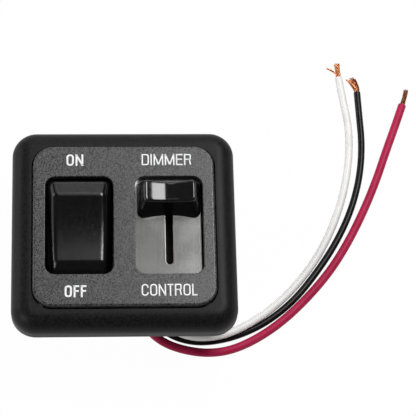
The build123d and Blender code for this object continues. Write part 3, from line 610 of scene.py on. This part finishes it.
def print_legend(word):
    """One word, its letters set side by side to fill the word's box on the plate."""
    (left, low), (right, high) = legend_box[word]
    half = legend_stroke[word] / 2
    strokes = round_curve(f"legend_{word.lower()}_strokes")
    strokes.data.bevel_resolution = 1
    strokes.data.resolution_u = 6
    shares = [letter_width[letter] for letter in word]
    scale = (right - left) / (sum(shares) + letter_gap * (len(word) - 1))
    x = left
    for letter, share in zip(word, shares):
        wide = max(share * scale - 2 * half, 0)
        tall = high - low - 2 * half
        for stroke in letter_strokes[letter]:
            places = [(x + half + u * wide, low + half + v * tall) for u, v in stroke]
            draw_stroke(strokes.data, places, half)
        x += (share + letter_gap) * scale
    mesh = bpy.data.meshes.new_from_object(strokes.evaluated_get(bpy.context.evaluated_depsgraph_get()))
    bpy.data.objects.remove(strokes)
    mesh.transform(Matrix.Diagonal((1, 1, ink_thickness / half, 1)))
    mesh.transform(Matrix.Translation((0, 0, front_z)))
    legend = bpy.data.objects.new(f"legend_{word.lower()}", mesh)
    bpy.context.scene.collection.objects.link(legend)
    return legend


# %% Ink the words
ink_grain = 0.45
ink_depth = 0.02
ink_roughness = 0.5


def white_ink():
    """Pad-printed ink: nearly even, a little thin where the grain stands proud."""
    material, tree, shader, coordinates = start_material("white_ink")
    pebbles = use_effect(tree, grain_group, coordinates, Scale=1 / (ink_grain * MM))
    tint(tree, shader, pebbles["Tone"], (0.88, 0.88, 0.89), (0.96, 0.96, 0.96))
    raise_bump(tree, shader, pebbles["Height"], ink_depth)
    shader.inputs["Roughness"].default_value = ink_roughness
    return material


ink = white_ink()
for word in legend_box:
    legend = print_legend(word)
    legend.data.materials.append(ink)
    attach(legend, "base")
    print(word, len(legend.data.vertices), "vertices")

# %% [markdown]
# ## Floor and light
# The floor is white paper. The camera and reflections see it mostly as an even white, so that only a trace
# of the shadow is left, while soft light bounces off it as off plain paper. A big softbox hangs above the
# far right: it draws the bright patch on the knob and greys the plate from the right. Two panels overhead
# light the rocker's bevel and ridge. Two softboxes on the left, one towards the back and one towards the
# front, draw the roll of the bezel and lift the leads. Two weak ones behind pick out the far edges. The
# near side stays dark.

# %% Floor
floor_reach = 3.0
floor_even_share = 0.98
paper_roughness = 0.8


def white_paper():
    """Paper that lights the object as paper does, and shows the camera an almost even white."""
    material, tree, shader, coordinates = start_material("white_paper")
    fibres = use_effect(tree, marks_group, coordinates, Scale=marks_per_metre["paper"])
    tint(tree, shader, fibres["Mask"], grey(0.9), grey(0.93))
    shader.inputs["Roughness"].default_value = paper_roughness
    shader.inputs["Specular IOR Level"].default_value = 0.0
    glow = place_node(tree, "ShaderNodeEmission", {}, Strength=1.0)
    rays = tree.nodes.new("ShaderNodeLightPath")
    seen = place_node(tree, "ShaderNodeMath", {"operation": "MAXIMUM"})
    tree.links.new(rays.outputs["Is Camera Ray"], seen.inputs[0])
    tree.links.new(rays.outputs["Is Glossy Ray"], seen.inputs[1])
    looked = place_node(tree, "ShaderNodeMath", {"operation": "MAXIMUM"})
    tree.links.new(seen.outputs[0], looked.inputs[0])
    tree.links.new(rays.outputs["Is Transmission Ray"], looked.inputs[1])
    share = place_node(tree, "ShaderNodeMath", {"operation": "MULTIPLY"})
    tree.links.new(looked.outputs[0], share.inputs[0])
    share.inputs[1].default_value = floor_even_share
    mix = tree.nodes.new("ShaderNodeMixShader")
    tree.links.new(share.outputs[0], mix.inputs[0])
    tree.links.new(shader.outputs[0], mix.inputs[1])
    tree.links.new(glow.outputs[0], mix.inputs[2])
    tree.links.new(mix.outputs[0], tree.nodes["Material Output"].inputs["Surface"])
    return material


corners = [
    (-floor_reach, -floor_reach, 0), (floor_reach, -floor_reach, 0),
    (floor_reach, floor_reach, 0), (-floor_reach, floor_reach, 0),
]
floor_mesh = bpy.data.meshes.new("floor")
floor_mesh.from_pydata(corners, [], [(0, 1, 2, 3)])
floor = bpy.data.objects.new("floor", floor_mesh)
bpy.context.scene.collection.objects.link(floor)
floor.data.materials.append(white_paper())
print("floor", floor_reach * 2, "m wide")

# %% Lamps
lit_point = Vector((15, 0, 20)) * MM
lamp_distance = 0.9
lamps = {
    "far_right_softbox": dict(direction=(0.38, 0.36, 1.0), size=(0.33, 0.46), radiance=13.0),
    "overhead_panel": dict(direction=(-0.04, 0.24, 1.0), size=(0.30, 0.16), radiance=0.9),
    "ridge_panel": dict(direction=(-0.02, 0.72, 1.0), size=(0.16, 0.2), radiance=4.0),
    "left_softbox": dict(direction=(-0.88, 0.36, 0.27), size=(0.4, 0.3), radiance=4.0),
    "front_left_softbox": dict(direction=(-0.76, -0.45, 0.46), size=(0.35, 0.3), radiance=8.0),
    "back_softbox": dict(direction=(0.0, 0.8, 0.6), size=(0.8, 0.22), radiance=1.4),
    "low_back_softbox": dict(direction=(0.0, 0.95, 0.28), size=(0.8, 0.2), radiance=2.0),
}


def softbox(name, direction, size, radiance):
    """A rectangular lamp that faces the switch, its width along X, its brightness given as radiance."""
    lamp = bpy.data.lights.new(name, "AREA")
    lamp.shape = "RECTANGLE"
    lamp.size, lamp.size_y = size
    lamp.energy = radiance * math.pi * lamp.size * lamp.size_y
    holder = bpy.data.objects.new(name, lamp)
    bpy.context.scene.collection.objects.link(holder)
    towards = Vector(direction).normalized()
    across = (Vector((1, 0, 0)) - towards * towards.x).normalized()
    facing = Matrix((across, towards.cross(across), towards)).transposed().to_4x4()
    holder.matrix_world = Matrix.Translation(lit_point + towards * lamp_distance) @ facing
    print(name, round(lamp.energy, 2), "W")


for name, look in lamps.items():
    softbox(name, **look)

# %% World
world_strength = 0.1
world = bpy.data.worlds.new("studio")
world.use_nodes = True
sky = world.node_tree.nodes["Background"]
sky.inputs["Color"].default_value = (1, 1, 1, 1)
sky.inputs["Strength"].default_value = world_strength
bpy.context.scene.world = world
bpy.context.scene.view_settings.view_transform = "Standard"
print("world strength", world_strength)
